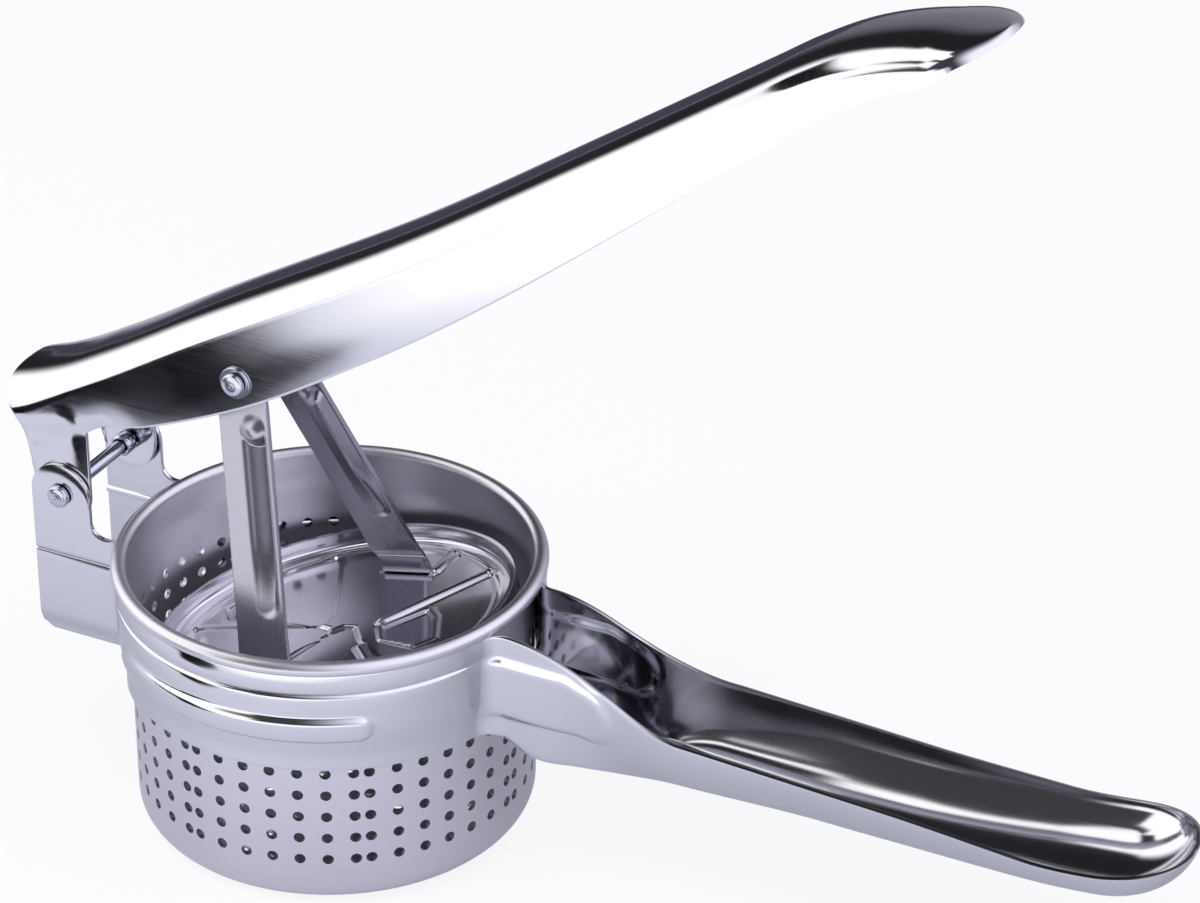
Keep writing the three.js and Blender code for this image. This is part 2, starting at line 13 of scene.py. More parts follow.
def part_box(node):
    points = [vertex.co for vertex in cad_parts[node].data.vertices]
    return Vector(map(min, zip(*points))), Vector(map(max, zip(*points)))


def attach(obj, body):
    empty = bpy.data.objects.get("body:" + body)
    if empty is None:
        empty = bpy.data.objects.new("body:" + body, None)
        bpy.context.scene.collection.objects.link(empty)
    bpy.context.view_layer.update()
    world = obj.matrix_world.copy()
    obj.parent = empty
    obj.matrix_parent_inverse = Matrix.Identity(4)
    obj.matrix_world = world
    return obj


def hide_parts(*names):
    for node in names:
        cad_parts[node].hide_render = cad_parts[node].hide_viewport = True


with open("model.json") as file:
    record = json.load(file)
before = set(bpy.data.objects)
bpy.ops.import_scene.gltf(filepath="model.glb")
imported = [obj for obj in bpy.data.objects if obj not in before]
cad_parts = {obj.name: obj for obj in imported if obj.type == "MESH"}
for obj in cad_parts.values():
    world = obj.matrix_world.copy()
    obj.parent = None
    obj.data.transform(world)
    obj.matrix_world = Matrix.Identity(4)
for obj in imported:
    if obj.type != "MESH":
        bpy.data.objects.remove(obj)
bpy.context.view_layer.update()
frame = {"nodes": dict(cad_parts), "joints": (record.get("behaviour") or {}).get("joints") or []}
mm = 0.001
print("frame loaded:", len(frame["nodes"]), "nodes")

jointPlace = {joint["name"]: np.array(joint["pos_m"]) / mm for joint in frame["joints"]}
hinge = jointPlace["lever_hinge"]
pin = jointPlace["plunger_pivot"]
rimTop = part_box("basket")[1].z / mm
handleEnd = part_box("shell")[1].x / mm


def smoothStep(low, high, value):
    # 0 below low, 1 above high, and an S-shaped cubic in between.
    t = np.clip((np.asarray(value, float) - low) / (high - low), 0, 1)
    return t * t * (3 - 2 * t)


def hump(value, centre, halfWidth):
    # A smooth bump of height 1 at the centre that is gone at the half width.
    t = np.clip(np.abs(np.asarray(value, float) - centre) / halfWidth, 0, 1)
    return (1 - t * t) ** 2


def curveThrough(pairs):
    # A smooth curve through (place, value) pairs: a cubic in each gap, with shared slopes.
    xs, ys = np.array(pairs, float).T
    slopes = np.gradient(ys, xs)

    def read(x):
        x = np.clip(np.asarray(x, float), xs[0], xs[-1])
        i = np.clip(np.searchsorted(xs, x) - 1, 0, len(xs) - 2)
        span = xs[i + 1] - xs[i]
        t = (x - xs[i]) / span
        return ((2 * t**3 - 3 * t**2 + 1) * ys[i] + (t**3 - 2 * t**2 + t) * span * slopes[i]
                + (3 * t**2 - 2 * t**3) * ys[i + 1] + (t**3 - t**2) * span * slopes[i + 1])
    return read


def arcPoints(centre, radius, start, end, count):
    # Points on a circle: centre plus radius times (cos, sin) of the angle in degrees.
    turn = np.radians(np.linspace(start, end, count))
    return np.stack([centre[0] + radius * np.cos(turn), centre[1] + radius * np.sin(turn)], -1)


def spaced(points, count):
    # A polyline read again at evenly spaced distances along it.
    points = np.asarray(points, float)
    steps = np.r_[0, np.cumsum(np.linalg.norm(np.diff(points, axis=0), axis=1))]
    places = np.linspace(0, steps[-1], count)
    return np.stack([np.interp(places, steps, points[:, k]) for k in range(points.shape[1])], -1)


def gridQuads(rows, columns, start=0, ring=False):
    # Four-sided faces between neighbours of a grid that is numbered row by row.
    number = start + np.arange(rows * columns).reshape(rows, columns)
    if ring:
        number = np.hstack([number, number[:, :1]])
    corners = [number[:-1, :-1], number[:-1, 1:], number[1:, 1:], number[1:, :-1]]
    return np.stack(corners, -1).reshape(-1, 4)


def lifted(points, rise, centre):
    # Turned about the Y axis through centre, so that +X rises by that many degrees.
    a = math.radians(rise)
    x, y, z = points[..., 0], points[..., 1], points[..., 2]
    return np.stack([centre[0] + x * math.cos(a) - z * math.sin(a), y,
                     centre[2] + x * math.sin(a) + z * math.cos(a)], -1)


class Surface:
    # Grids and faces that are gathered into one mesh.

    def __init__(self):
        self.points, self.faces, self.count = [], [], 0

    def add(self, points, faces):
        points = np.asarray(points, float).reshape(-1, 3)
        self.points.append(points)
        self.faces += (np.asarray(faces) + self.count).tolist()
        self.count += len(points)

    def addGrid(self, grid, ring=False):
        self.add(grid, gridQuads(grid.shape[0], grid.shape[1], ring=ring))


def pieceFrom(name, surface, weld=0.002):
    # A mesh object from a surface, with points closer than the weld distance made one.
    mesh = bpy.data.meshes.new(name)
    mesh.from_pydata((np.concatenate(surface.points) * mm).tolist(), [], surface.faces)
    shape = bmesh.new()
    shape.from_mesh(mesh)
    bmesh.ops.remove_doubles(shape, verts=shape.verts, dist=weld * mm)
    bmesh.ops.dissolve_degenerate(shape, edges=shape.edges, dist=weld * mm)
    bmesh.ops.recalc_face_normals(shape, faces=shape.faces)
    shape.to_mesh(mesh)
    shape.free()
    piece = bpy.data.objects.new(name, mesh)
    bpy.context.scene.collection.objects.link(piece)
    return piece


def makeSheet(piece, thickness, edge):
    # Gives a surface the sheet's thickness, half to each side, and a small rounding at its edges.
    solidify = piece.modifiers.new("sheet", "SOLIDIFY")
    solidify.thickness = thickness * mm
    solidify.offset = 0
    if edge:
        bevel = piece.modifiers.new("edge", "BEVEL")
        bevel.width = edge * mm
        bevel.segments = 2
        bevel.angle_limit = math.radians(50)
    depsgraph = bpy.context.evaluated_depsgraph_get()
    made = bpy.data.meshes.new_from_object(piece.evaluated_get(depsgraph))
    piece.modifiers.clear()
    piece.data = made


def finishPiece(piece, body, nodes, material, sharp=40):
    # Smooth shading with sharp edges kept, a material and the body it rides on; the model's parts it stands
    # for are hidden.
    piece.data.polygons.foreach_set("use_smooth", [True] * len(piece.data.polygons))
    piece.data.set_sharp_from_angle(angle=math.radians(sharp))
    piece.data.materials.clear()
    piece.data.materials.append(material)
    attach(piece, body)
    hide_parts(*nodes)
    print("made", piece.name, len(piece.data.polygons), "faces")


def toLinear(colour):
    # An sRGB hex colour as linear values for a shader socket.
    parts = [int(colour[i:i + 2], 16) / 255 for i in (1, 3, 5)]
    return [c / 12.92 if c <= 0.04045 else ((c + 0.055) / 1.055) ** 2.4 for c in parts] + [1.0]


def addNode(tree, kind, links=None, **settings):
    # One node with its settings; links maps an input's name to the socket that feeds it.
    node = tree.nodes.new(kind)
    for key, value in settings.items():
        if isinstance(key, str) and key in node.inputs:
            node.inputs[key].default_value = value
        else:
            setattr(node, key, value)
    for key, socket in (links or {}).items():
        tree.links.new(socket, node.inputs[key])
    return node


def steelMaterial(name, colour, low, high, grainAcross, grainAlong, grainDepth, stretch):
    # Stainless steel: roughness wanders between low and high, and fine grain runs along one axis.
    # grainAcross and grainAlong are the width and length of a grain line in millimetres,
    # grainDepth is how deep it is, and stretch names the axis it runs along.
    material = bpy.data.materials.new(name)
    material.use_nodes = True
    tree = material.node_tree
    shader = tree.nodes["Principled BSDF"]
    shader.inputs["Metallic"].default_value = 1.0
    place = addNode(tree, "ShaderNodeTexCoord").outputs["Object"]
    across, along = 1 / (grainAcross * mm), 1 / (grainAlong * mm)
    scale = [along if axis == stretch else across for axis in "XYZ"]
    turned = addNode(tree, "ShaderNodeMapping", {"Vector": place}, Scale=scale)
    grain = addNode(tree, "ShaderNodeTexNoise", {"Vector": turned.outputs["Vector"]},
                    Scale=1.0, Detail=3.0, Roughness=0.6)
    cloud = addNode(tree, "ShaderNodeTexNoise", {"Vector": place}, Scale=1 / (22 * mm), Detail=2.0)
    both = addNode(tree, "ShaderNodeMix", {"A": grain.outputs["Fac"], "B": cloud.outputs["Fac"]}, Factor=0.5)
    rough = addNode(tree, "ShaderNodeMapRange", {"Value": both.outputs["Result"]})
    rough.inputs["From Min"].default_value = 0.3
    rough.inputs["From Max"].default_value = 0.7
    rough.inputs["To Min"].default_value = low
    rough.inputs["To Max"].default_value = high
    tree.links.new(rough.outputs["Result"], shader.inputs["Roughness"])
    base = toLinear(colour)
    tone = addNode(tree, "ShaderNodeMix", {"Factor": cloud.outputs["Fac"]}, data_type="RGBA")
    tone.inputs["A"].default_value = [c * 0.965 for c in base[:3]] + [1]
    tone.inputs["B"].default_value = [min(c * 1.03, 1) for c in base[:3]] + [1]
    tree.links.new(tone.outputs["Result"], shader.inputs["Base Color"])
    bump = addNode(tree, "ShaderNodeBump", {"Height": grain.outputs["Fac"]}, Strength=1.0)
    bump.inputs["Distance"].default_value = grainDepth * mm
    tree.links.new(bump.outputs["Normal"], shader.inputs["Normal"])
    return material


# Mirror-polished stainless sheet: clear reflections, with faint polishing lines along the handle.
polishedSheet = steelMaterial("polished_stainless_sheet", "#C9C9CE", 0.07, 0.15, 0.35, 14, 0.0006, "X")
# The lever is polished the same way, and its lines follow its length.
polishedLever = steelMaterial("polished_stainless_lever", "#C9C9CE", 0.06, 0.14, 0.35, 14, 0.0006, "X")
# Deep-drawn stainless cup, left satin by the press: soft reflections drawn out up the wall.
drawnCup = steelMaterial("drawn_satin_stainless", "#CAC8CF", 0.3, 0.4, 0.25, 9, 0.0009, "Z")
# Buffed stainless disc: bright, with a soft swirl of buffing.
buffedDisc = steelMaterial("buffed_stainless_disc", "#CCCAD2", 0.1, 0.18, 0.5, 5, 0.0005, "Y")
# Rolled stainless strip, tumbled after pressing: duller than the handles.
tumbledStrip = steelMaterial("tumbled_stainless_strip", "#A3A1AD", 0.24, 0.34, 0.3, 7, 0.0006, "Z")
# Cold-headed stainless wire: small bright heads with turning marks.
headedWire = steelMaterial("cold_headed_stainless_wire", "#B9BAC6", 0.14, 0.26, 0.12, 1.2, 0.0012, "Y")
print("materials ready")


basket = dict(
    wallRadius=40.25,  # middle of the sheet
    sheet=0.9,
    floorBend=5.55,  # middle of the sheet
    sectors=7,
    columns=7,  # of holes in each sector
    columnStep=7.85,  # degrees
    sectorStart=-52.4,  # degrees
    rows=7,
    firstRow=11.4,
    rowPitch=5.0,
    holeRadius=1.12,
    floorRings=4,
    floorRingPitch=7.0,
    shoulderRadius=41.15,
    shoulderStart=49.5,
    shoulderEnd=56.2,
    rimRoll=1.1,  # radius of the rolled edge, to the middle of the sheet
)

squareTurn = np.radians(np.arange(16) * 22.5)
squareCos, squareSin = np.cos(squareTurn), np.sin(squareTurn)
squareReach = np.maximum(np.abs(squareCos), np.abs(squareSin))
squareX, squareY = squareCos / squareReach, squareSin / squareReach


def holeColumns():
    # Angle of each column of holes, and how far its cell reaches to the left and right, in degrees.
    sectorTurn = 360 / basket["sectors"]
    strip = sectorTurn - (basket["columns"] - 1) * basket["columnStep"]
    sector, column = np.meshgrid(np.arange(basket["sectors"]), np.arange(basket["columns"]), indexing="ij")
    centre = basket["sectorStart"] + sector * sectorTurn + strip / 2 + column * basket["columnStep"]
    left = np.where(column == 0, strip, basket["columnStep"]) / 2
    right = np.where(column == basket["columns"] - 1, strip, basket["columnStep"]) / 2
    return centre.ravel(), left.ravel(), right.ravel()


def turnedGrid(profile, angles):
    # Radius and height pairs carried round the Z axis: (r cos a, r sin a, z).
    turn = np.radians(angles)
    r, z = profile[:, :1], profile[:, 1:]
    return np.stack([r * np.cos(turn), r * np.sin(turn), z + 0 * turn], -1)


def makeBasket():
    # A cup of sheet: floor, bend, wall of square cells with a round hole in each, shoulder, rolled rim.
    surface = Surface()
    centre, left, right = holeColumns()
    lines = np.array([-1, -1, 0, 1]) * [1, math.tan(math.radians(22.5)), 0, math.tan(math.radians(22.5))]
    angles = (centre[:, None] + np.where(lines < 0, left[:, None], right[:, None]) * lines).ravel()
    radius = basket["wallRadius"]
    wallStart = basket["firstRow"] - basket["rowPitch"] / 2
    wallEnd = wallStart + basket["rows"] * basket["rowPitch"]
    floorZ = basket["sheet"] / 2
    floorRadius = radius - basket["floorBend"]
    bend = arcPoints((floorRadius, floorZ + basket["floorBend"]), basket["floorBend"], -90, 0, 10)
    surface.addGrid(turnedGrid(np.vstack([bend, [[radius, wallStart]]]), angles), ring=True)

    # each cell: sixteen points on its outline and sixteen on its hole
    rowZ = basket["firstRow"] + basket["rowPitch"] * np.arange(basket["rows"])
    reach = np.where(squareX < 0, left[:, None], right[:, None]) * squareX
    outlineTurn = np.radians(centre[:, None] + reach)
    holeTurn = np.radians(centre)[:, None] + basket["holeRadius"] * squareCos / radius
    turn = np.concatenate([outlineTurn, holeTurn], 1)
    rise = np.concatenate([squareY * basket["rowPitch"] / 2, basket["holeRadius"] * squareSin])
    z = rowZ[:, None, None] + rise + 0 * turn
    cells = np.stack([radius * np.cos(turn) + 0 * z, radius * np.sin(turn) + 0 * z, z], -1)
    side = np.arange(16)
    after = (side + 1) % 16
    quads = np.stack([side, after, after + 16, side + 16], -1)
    count = len(rowZ) * len(centre)
    surface.add(cells, (quads[None] + 32 * np.arange(count)[:, None, None]).reshape(-1, 4))

    # shoulder and rolled rim
    rimZ = rimTop - basket["sheet"] / 2
    inner = basket["shoulderRadius"]
    t = np.linspace(0, 1, 7)
    shoulder = np.stack([radius + (inner - radius) * smoothStep(0, 1, t),
                         basket["shoulderStart"] + t * (basket["shoulderEnd"] - basket["shoulderStart"])], -1)
    roll = arcPoints((inner + basket["rimRoll"], rimZ - basket["rimRoll"]), basket["rimRoll"], 180, -60, 18)
    profile = np.vstack([[[radius, wallEnd]], [[radius, (wallEnd + basket["shoulderStart"]) / 2]],
                         shoulder, roll])
    surface.addGrid(turnedGrid(profile, angles), ring=True)

    # floor: a flat disc with rings of holes, triangulated
    rim = turnedGrid(np.array([[floorRadius, floorZ]]), angles)[0, :, :2]
    ring = np.concatenate([np.full(k * basket["sectors"], k) for k in range(1, basket["floorRings"] + 1)])
    place = np.concatenate([np.arange(k * basket["sectors"]) / (k * basket["sectors"])
                            for k in range(1, basket["floorRings"] + 1)]) * 2 * math.pi
    middles = (ring * basket["floorRingPitch"])[:, None] * np.stack([np.cos(place), np.sin(place)], -1)
    hole = basket["holeRadius"] * np.stack([squareCos, squareSin], -1)
    points = np.concatenate([rim, (middles[:, None] + hole).reshape(-1, 2)])
    loops = [np.arange(len(rim))] + [len(rim) + 16 * k + side for k in range(len(middles))]
    edges = np.concatenate([np.stack([loop, np.roll(loop, -1)], -1) for loop in loops])
    flat = delaunay_2d_cdt([Vector(p) for p in points], edges.tolist(), [], 0, 1e-6)
    corners = np.array([list(p) for p in flat[0]])
    faces = np.array(flat[2])
    nearest = np.linalg.norm(corners[faces].mean(1)[:, None] - middles, axis=-1).min(1)
    inside = nearest < basket["holeRadius"] * 0.97
    surface.add(np.c_[corners, np.full(len(corners), floorZ)], faces[~inside])
    piece = pieceFrom("basket_cup", surface)
    makeSheet(piece, basket["sheet"], 0)
    finishPiece(piece, "basket", ["basket"], drawnCup, sharp=50)


makeBasket()


shell = dict(
    sheet=0.9,
    edge=0.28,
    plateY=13.5,
    plateBack=-61.3,
    plateBottom=30.5,
    plateCut=1.5,
    earRadius=6.8,
    earFillet=3.0,
    bracketBend=5.0,
    ringRadius=42.3,
    ringTop=55.7,
    ringBottom=33.0,
    waistY=10.0,
    waistBend=5.0,
    grooveDepth=0.75,
    grooveWidth=0.62,
    beadHeight=0.75,
    handleY=12.5,
    waistEnd=60.0,
    flareEnd=85.1,
    handleTop=43.4,
    handleTopDrop=3.8,
    tipLength=16.0,
    tipLip=3.4,
    tipSpread=1.3,
    spreadRange=(125, 168),
    roundness=(2.8, 2.0),  # at the waist and at the tip
    lean=0.1,
    panelEnd=68.0,
    panelHeight=0.6,
)
rowCount = 58
waistReach = shell["ringRadius"] + shell["waistBend"]
waistX = math.sqrt(waistReach**2 - (shell["waistY"] + shell["waistBend"]) ** 2)


def rowShares():
    # Share of the way from the top edge to the lower edge, closer together at the pressed lines.
    v = np.linspace(0, 1, 400)
    dense = 1 + 3 * hump(v, 0.22, 0.09) + 2.4 * hump(v, 0.64, 0.1) + 1.2 * hump(v, 0.47, 0.08)
    total = np.cumsum(dense)
    total = (total - total[0]) / (total[-1] - total[0])
    return np.interp(np.linspace(0, 1, rowCount), total, v)


def ringSwell(z):
    # How far the ring stands out from its plain radius: fuller above, drawn in to the cup below.
    return curveThrough([(30, -0.95), (33, -0.95), (36.5, -0.85), (38.5, -0.45), (41, 0.1), (46, 0.45),
                         (49.5, 0.5), (51, 0.35), (53, 0.6), (56, 0.3)])(z)


def bandColumns():
    # Top point, foot point, outward direction, ring share and angle of each line up the near band.
    side = shell
    back, ear, fillet = side["plateBack"], side["earRadius"], side["earFillet"]
    rearY = side["plateY"] + side["bracketBend"]
    rearX = -math.sqrt((side["ringRadius"] + side["bracketBend"]) ** 2 - rearY**2)
    frontY = side["waistY"] + side["waistBend"]
    frontX = math.sqrt((side["ringRadius"] + side["waistBend"]) ** 2 - frontY**2)
    rearTurn = math.degrees(math.atan2(rearY, -rearX))
    frontTurn = math.degrees(math.atan2(frontY, frontX))

    # plate: its top edge goes over the ear and down into the ring's edge
    over = np.vstack([
        arcPoints((hinge[0], hinge[2]), ear, 180, 0, 40),
        [[hinge[0] + ear, side["ringTop"] + fillet]],
        arcPoints((hinge[0] + ear + fillet, side["ringTop"] + fillet), fillet, 180, 270, 12),
        [[rearX, side["ringTop"]]],
    ])
    over = spaced(over, 64)
    share = np.linspace(0, 1, len(over))
    footX = back + (rearX - back) * share**1.15
    footZ = side["plateBottom"] + side["plateCut"] * (1 - smoothStep(0, side["plateCut"] * 1.6, footX - back))
    plateTop = np.stack([over[:, 0], np.full(len(over), -side["plateY"]), over[:, 1]], -1)
    plateFoot = np.stack([footX, plateTop[:, 1], footZ], -1)
    outward = np.tile([0.0, -1.0], (len(over), 1))
    parts = [(plateTop, plateFoot, outward, np.zeros(len(over)), np.full(len(over), -170.0))]

    def upright(places, out, ringShare, angle, foot):
        top = np.c_[places, np.full(len(places), side["ringTop"])]
        parts.append((top, np.c_[places, foot], out, ringShare, angle))

    turn = np.linspace(90, rearTurn, 12)[1:]
    places = arcPoints((rearX, -rearY), side["bracketBend"], 90, rearTurn, 12)[1:]
    out = -np.stack([np.cos(np.radians(turn)), np.sin(np.radians(turn))], -1)
    upright(places, out, smoothStep(90, rearTurn, turn), np.full(len(turn), -160.0),
            np.full(len(turn), side["plateBottom"]))
    angle = np.linspace(rearTurn - 180, -frontTurn, 170)[1:]
    places = side["ringRadius"] * np.stack([np.cos(np.radians(angle)), np.sin(np.radians(angle))], -1)
    foot = side["plateBottom"] + (side["ringBottom"] - side["plateBottom"]) * smoothStep(-150, -115, angle)
    upright(places, places / side["ringRadius"], np.ones(len(angle)), angle, foot)
    turn = np.linspace(180 - frontTurn, 90, 16)[1:]
    places = arcPoints((frontX, -frontY), side["waistBend"], 180 - frontTurn, 90, 16)[1:]
    out = -np.stack([np.cos(np.radians(turn)), np.sin(np.radians(turn))], -1)
    upright(places, out, 1 - smoothStep(180 - frontTurn, 100, turn), np.full(len(turn), -10.0),
            np.full(len(turn), side["ringBottom"]))
    return [np.concatenate(group) for group in zip(*parts)], frontX


def pressedLines(angle, z, onRing):
    # Depth of the pressed groove and height of the pressed bead at a place on the ring.
    grooveZ = 49.6 + 1.4 * smoothStep(-165, -140, angle)
    strength = 1 - smoothStep(-45, -14, angle)
    groove = -shell["grooveDepth"] * strength * hump(z, grooveZ, shell["grooveWidth"])
    along = np.radians(angle) * shell["ringRadius"]
    start, end = np.radians([-133.0, -50.0]) * shell["ringRadius"]
    middle, half, high = (start + end) / 2, (end - start) / 2, 2.3
    reach = np.hypot(np.maximum(np.abs(along - middle) - (half - high), 0), z - 42.9) - high
    soft = np.where(z > 42.9, 1.1, 0.5)
    bead = shell["beadHeight"] * (1 - smoothStep(-soft, soft, reach)) * onRing
    return groove + bead


def troughTop(x):
    # Upper edge: falls from the ring's height through the flare, then gently, with a lip at the tip.
    fall = smoothStep(waistX, shell["flareEnd"] - 0.5, x)
    reach = handleEnd - 14 - shell["flareEnd"]
    drop = shell["handleTopDrop"] * np.clip((x - shell["flareEnd"]) / reach, 0, 1)
    lip = shell["tipLip"] * smoothStep(handleEnd - 30, handleEnd + 1, x)
    return shell["ringTop"] + (shell["handleTop"] - shell["ringTop"]) * fall - drop + lip


troughLow = curveThrough([(waistX, 33.0), (50, 30.4), (60, 29.6), (80, 29.52), (103, 29.52), (127, 29.6),
                          (150, 30.4), (166, 31.7), (178, 33.2), (184, 34.0)])


def troughBottom(x):
    # Lowest line of the trough: close to level, rising faster towards the tip.
    return troughLow(x)


def panelRise(x, z):
    # Height of the pressed panel on the trough's wall: level below, following the edge above, round in front.
    low, nose = 38.0, 5.5
    high = np.minimum(50.3, troughTop(x) - 2.2)
    middle, half = (low + high) / 2, np.maximum((high - low) / 2, nose)
    front = shell["panelEnd"] - nose
    reach = np.hypot(np.maximum(x - front, 0), np.maximum(np.abs(z - middle) - (half - nose), 0)) - nose
    soft = np.where(z > middle, 1.5, 0.6)
    return shell["panelHeight"] * (1 - smoothStep(-soft, soft, reach))


def makeShell():
    # Near band and its mirror image, joined in front by a trough whose section is wall, bend and bottom.
    share = rowShares()
    (top, foot, out, ringShare, angle), frontX = bandColumns()
    level = shell["ringTop"] + (shell["ringBottom"] - shell["ringTop"]) * share
    over = np.clip((level - 51.5) / (shell["ringTop"] - 51.5), 0, 1)
    under = np.clip((46 - level) / (46 - shell["ringBottom"]), 0, 1)
    z = (np.clip(level, 46, 51.5) + (top[:, 2:] - 51.5) * over + (foot[:, 2:] - 46) * under)
    way = ((top[:, 2:] - z) / (top[:, 2:] - foot[:, 2:]))[..., None]
    band = np.concatenate([top[:, None, :2] + (foot - top)[:, None, :2] * way, z[..., None]], -1)
    rise = ringShare[:, None] * ringSwell(z) + pressedLines(angle[:, None], z, (ringShare > 0.99)[:, None])
    # the plate's lower edge is folded slightly inwards
    rise = rise - (1 - ringShare[:, None]) * (top[:, :1] < 0) * 1.1 * (1 - smoothStep(31, 35, z))
    band[..., :2] += out[:, None] * rise[..., None]

    # trough: one section after another along X, boxed at the waist and then
    # |y / half|^n + |z / depth|^n = 1 below its upper edge
    tipStart = handleEnd - shell["sheet"] / 2 - shell["tipLength"]
    straight = frontX + (tipStart - frontX) * np.linspace(0, 1, 120) ** 1.15
    turn = np.radians(np.linspace(0, 90, 34))[1:]
    x = np.r_[straight, tipStart + shell["tipLength"] * np.sin(turn) ** 0.85]
    close = np.r_[np.ones(len(straight)), np.cos(turn) ** 0.85]
    flare = (shell["handleY"] - shell["waistY"]) * smoothStep(shell["waistEnd"], shell["flareEnd"], x)
    half = (shell["waistY"] + flare + shell["tipSpread"] * smoothStep(*shell["spreadRange"], x)) * close
    high = troughTop(x)
    opened = (smoothStep(frontX + 4, 84, x) * smoothStep(frontX - 0.5, frontX + 4, x))[:, None]
    opened[0] = 0
    low = troughBottom(x)
    flat = np.linspace(0, 1, 23)[1:]
    boxed = np.stack([np.r_[np.full(rowCount, 1.0), 1 - flat], np.r_[share, np.ones(22)]], -1)
    fold = np.radians(np.r_[64 * share, 64 + 26 * flat])
    full, soft = shell["roundness"]
    power = (2 / (full + (soft - full) * smoothStep(70, 112, x)))[:, None]
    arched = np.stack([np.cos(fold) ** power, np.sin(fold) ** power], -1)
    shape = boxed[None] + (arched - boxed[None]) * opened[..., None]
    depth = (high - low) * close**1.4
    lean = 1 - shell["lean"] * opened * shape[..., 1]
    section = np.stack([x[:, None] + 0 * shape[..., 0], -half[:, None] * shape[..., 0] * lean,
                        high[:, None] - depth[:, None] * shape[..., 1]], -1)
    # the bottom starts close to the cup, along its round wall
    startX = np.sqrt((shell["ringRadius"] + 0.9) ** 2 - section[..., 1] ** 2)
    weight = np.r_[np.zeros(rowCount), smoothStep(0, 0.7, flat)]
    near = 1 - smoothStep(frontX, frontX + 8, x)
    section[..., 0] -= near[:, None] * weight * (frontX - np.minimum(startX, frontX))
    # pressed panel on the walls
    press = panelRise(section[..., 0], section[..., 2]) * (section[..., 1] < -half[:, None] * 0.9)
    section[..., 1] -= press * close[:, None]
    joined = panelRise(band[..., 0], band[..., 2]) * (angle[:, None] > -11) * (1 - ringShare[:, None])
    band[..., :2] += out[:, None] * joined[..., None]

    surface = Surface()
    flip = np.array([1, -1, 1])
    for grid in (band, section):
        surface.addGrid(grid)
        surface.add(grid * flip, gridQuads(grid.shape[0], grid.shape[1])[:, ::-1])
    piece = pieceFrom("shell_sheet", surface, weld=0.01)
    makeSheet(piece, shell["sheet"], shell["edge"])
    finishPiece(piece, "frame", ["shell"], polishedSheet)


makeShell()


lever = dict(
    rise=36.0,  # degrees at rest
    sheet=0.9,
    edge=0.18,
    start=0.6,
    halfWidth=12.6,  # middle of the sheet
    reach=236.5,
    nose=12.0,
    corner=5.5,
    earY=12.1,
    earRadius=6.3,
)
leverTop = curveThrough([(-6, 27.6), (0.6, 25.7), (6, 24.1), (12, 22.8), (24, 21.2), (50, 18.9), (103, 13.4),
                         (150, 11.1), (190, 9.5), (200, 9.1), (212, 7.4), (226, 2.3), (237, -4.1)])
leverEdge = curveThrough([(-6, 18.4), (10, 10.6), (22, 6.3), (50, -0.6), (87, -4), (173, -2.5), (190, -1.8),
                          (202, -1.5), (209, -1.7), (216, -2.5), (223, -4.3), (230, -4.1), (237, -5.2)])


def makeLever():
    # A section of wall, crown and wall carried along the lever; its near edge dips round the ear.
    # lower edge: down the ear's rear side, round the hinge, up its front side, then along the wall
    up = math.radians(lever["rise"])
    upward = np.array([math.sin(up), math.cos(up)])
    forward = np.array([math.cos(up), -math.sin(up)])
    r = lever["earRadius"]
    rearStart = -r * forward + upward * 7.6
    underEar = arcPoints((0, 0), r, 180 - lever["rise"], 360 - lever["rise"], 40)
    frontEnd = r * forward + upward * 15.2
    rearEnd = rearStart + [lever["start"] - rearStart[0], 0]
    ear = spaced(np.vstack([rearEnd, rearStart, underEar, frontEnd]), 46)
    noseStart = lever["reach"] - lever["nose"]
    along = np.linspace(frontEnd[0], noseStart, 150)[1:]
    turn = np.radians(np.linspace(0, 90, 34))[1:]
    tip = noseStart + lever["nose"] * np.sin(turn) ** 0.85
    footX = np.r_[ear[:, 0], along, tip]
    footZ = np.r_[ear[:, 1], leverEdge(along), leverEdge(tip)]
    blendIn = smoothStep(0, 14, along - frontEnd[0])
    footZ[len(ear):len(ear) + len(along)] = frontEnd[1] * (1 - blendIn) + leverEdge(along) * blendIn
    topX = np.r_[np.linspace(lever["start"], frontEnd[0], len(ear)), along, tip]
    close = np.r_[np.ones(len(ear) + len(along)), np.cos(turn) ** 0.85]
    half = lever["halfWidth"] * close
    high = leverTop(topX)
    corner = np.minimum(lever["corner"] + 1.6 * (1 - smoothStep(0, 18, topX)), (high - leverEdge(topX)) * 0.8)
    wallTop = high - corner

    share = np.linspace(0, 1, 26)
    wallX = footX[:, None] + (topX - footX)[:, None] * share
    wallZ = footZ[:, None] + (wallTop - footZ)[:, None] * share
    below = smoothStep(-3, 3, leverEdge(np.clip(wallX, -6, 60)) + 1 - wallZ) * (topX < 20)[:, None]
    swell = 0.35 * np.sin(np.pi * share) * close[:, None] * smoothStep(3, 17, wallTop - footZ)[:, None]
    wallY = -(half[:, None] + swell - (lever["halfWidth"] - lever["earY"]) * below)
    wall = np.stack([wallX, wallY, wallZ], -1)
    psi = np.radians(np.linspace(-90, 90, 60))[1:-1]
    across = np.sign(np.sin(psi)) * np.abs(np.sin(psi)) ** (2 / 2.6)
    crown = np.stack([topX[:, None] + 0 * psi, half[:, None] * across,
                      high[:, None] - corner[:, None] * (1 - np.cos(psi))], -1)
    farWall = wall[:, ::-1] * np.array([1, -1, 1])
    section = np.concatenate([wall, crown, farWall], 1)
    surface = Surface()
    surface.addGrid(lifted(section, lever["rise"], hinge))
    piece = pieceFrom("lever_sheet", surface, weld=0.01)
    makeSheet(piece, lever["sheet"], lever["edge"])
    finishPiece(piece, "lever", ["lever"], polishedLever)


makeLever()


